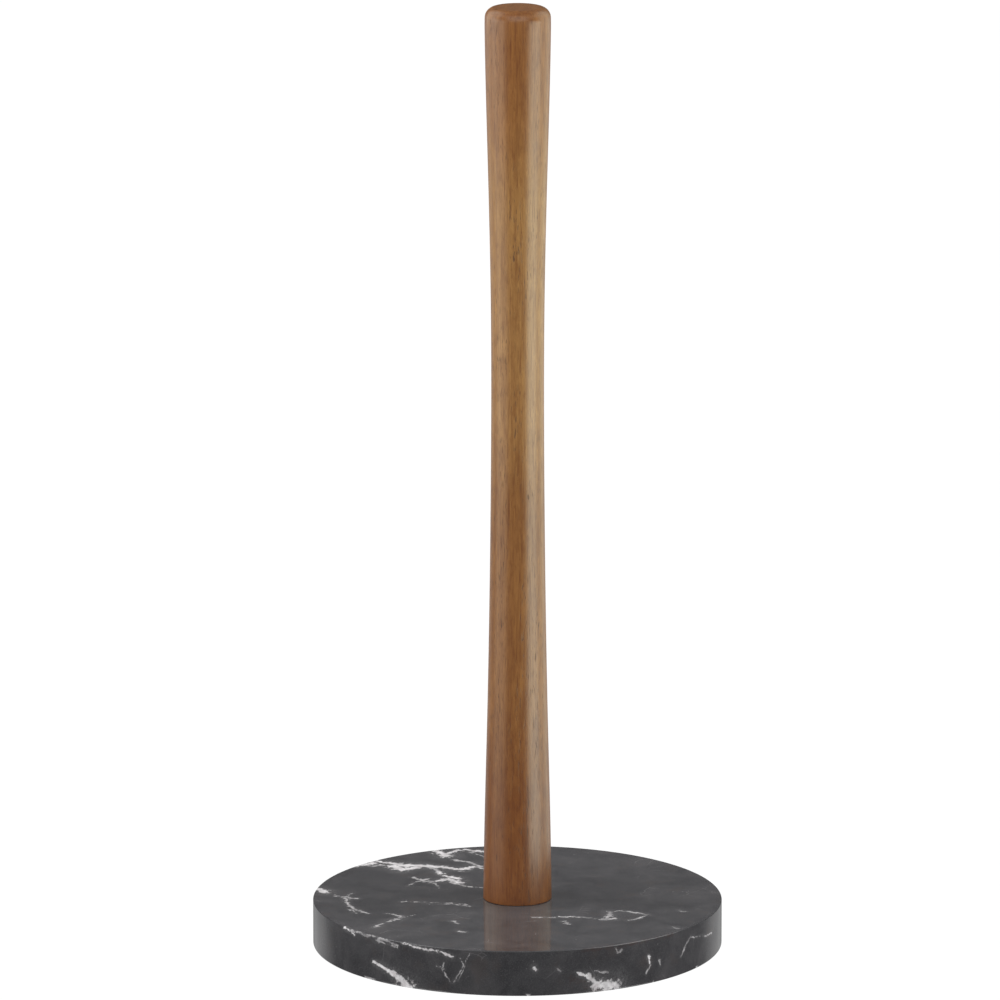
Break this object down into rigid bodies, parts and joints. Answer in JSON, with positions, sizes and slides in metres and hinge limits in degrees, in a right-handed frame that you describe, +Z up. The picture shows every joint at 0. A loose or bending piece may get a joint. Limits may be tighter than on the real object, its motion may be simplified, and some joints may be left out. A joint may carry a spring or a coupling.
{
  "type": "paper towel holder",
  "caption": "Free-standing paper towel holder: a turned hourglass wooden post screwed to a round polished black marble base with white veins.",
  "frame": {"origin": "on the post's axis, in the plane that the rubber feet stand on", "axes": "+Z up along the post; +X and +Y lie in the base, with the four feet on the diagonals between them"},
  "size_m": [0.1524, 0.1524, 0.3556],
  "materials": {
    "marble": "polished",
    "wood": "satin",
    "brass": "satin",
    "steel": "satin",
    "zinc_steel": "satin",
    "rubber": "matte"
  },
  "bodies": {
    "base": {"base_slab": "marble", "flat_washer": "zinc_steel", "spring_washer": "zinc_steel", "foot_1": "rubber", "foot_2": "rubber", "foot_3": "rubber", "foot_4": "rubber"},
    "screw": {"fixing_screw": "steel"},
    "post": {"pole": "wood", "threaded_insert": "brass"}
  },
  "joints": [
    {"name": "screw_turn", "type": "hinge", "parent": "base", "child": "screw", "pos_m": [0, 0, 0.0088], "axis": [0, 0, -1], "range_deg": [0, 3240]},
    {"name": "post_lift", "type": "slide", "parent": "base", "child": "post", "axis": [0, 0, 1], "range_m": [0, 0.009]}
  ],
  "couplings": [
    {"joint": "screw_turn", "follows": "post_lift", "rad_per_m": 6283.2}
  ]
}
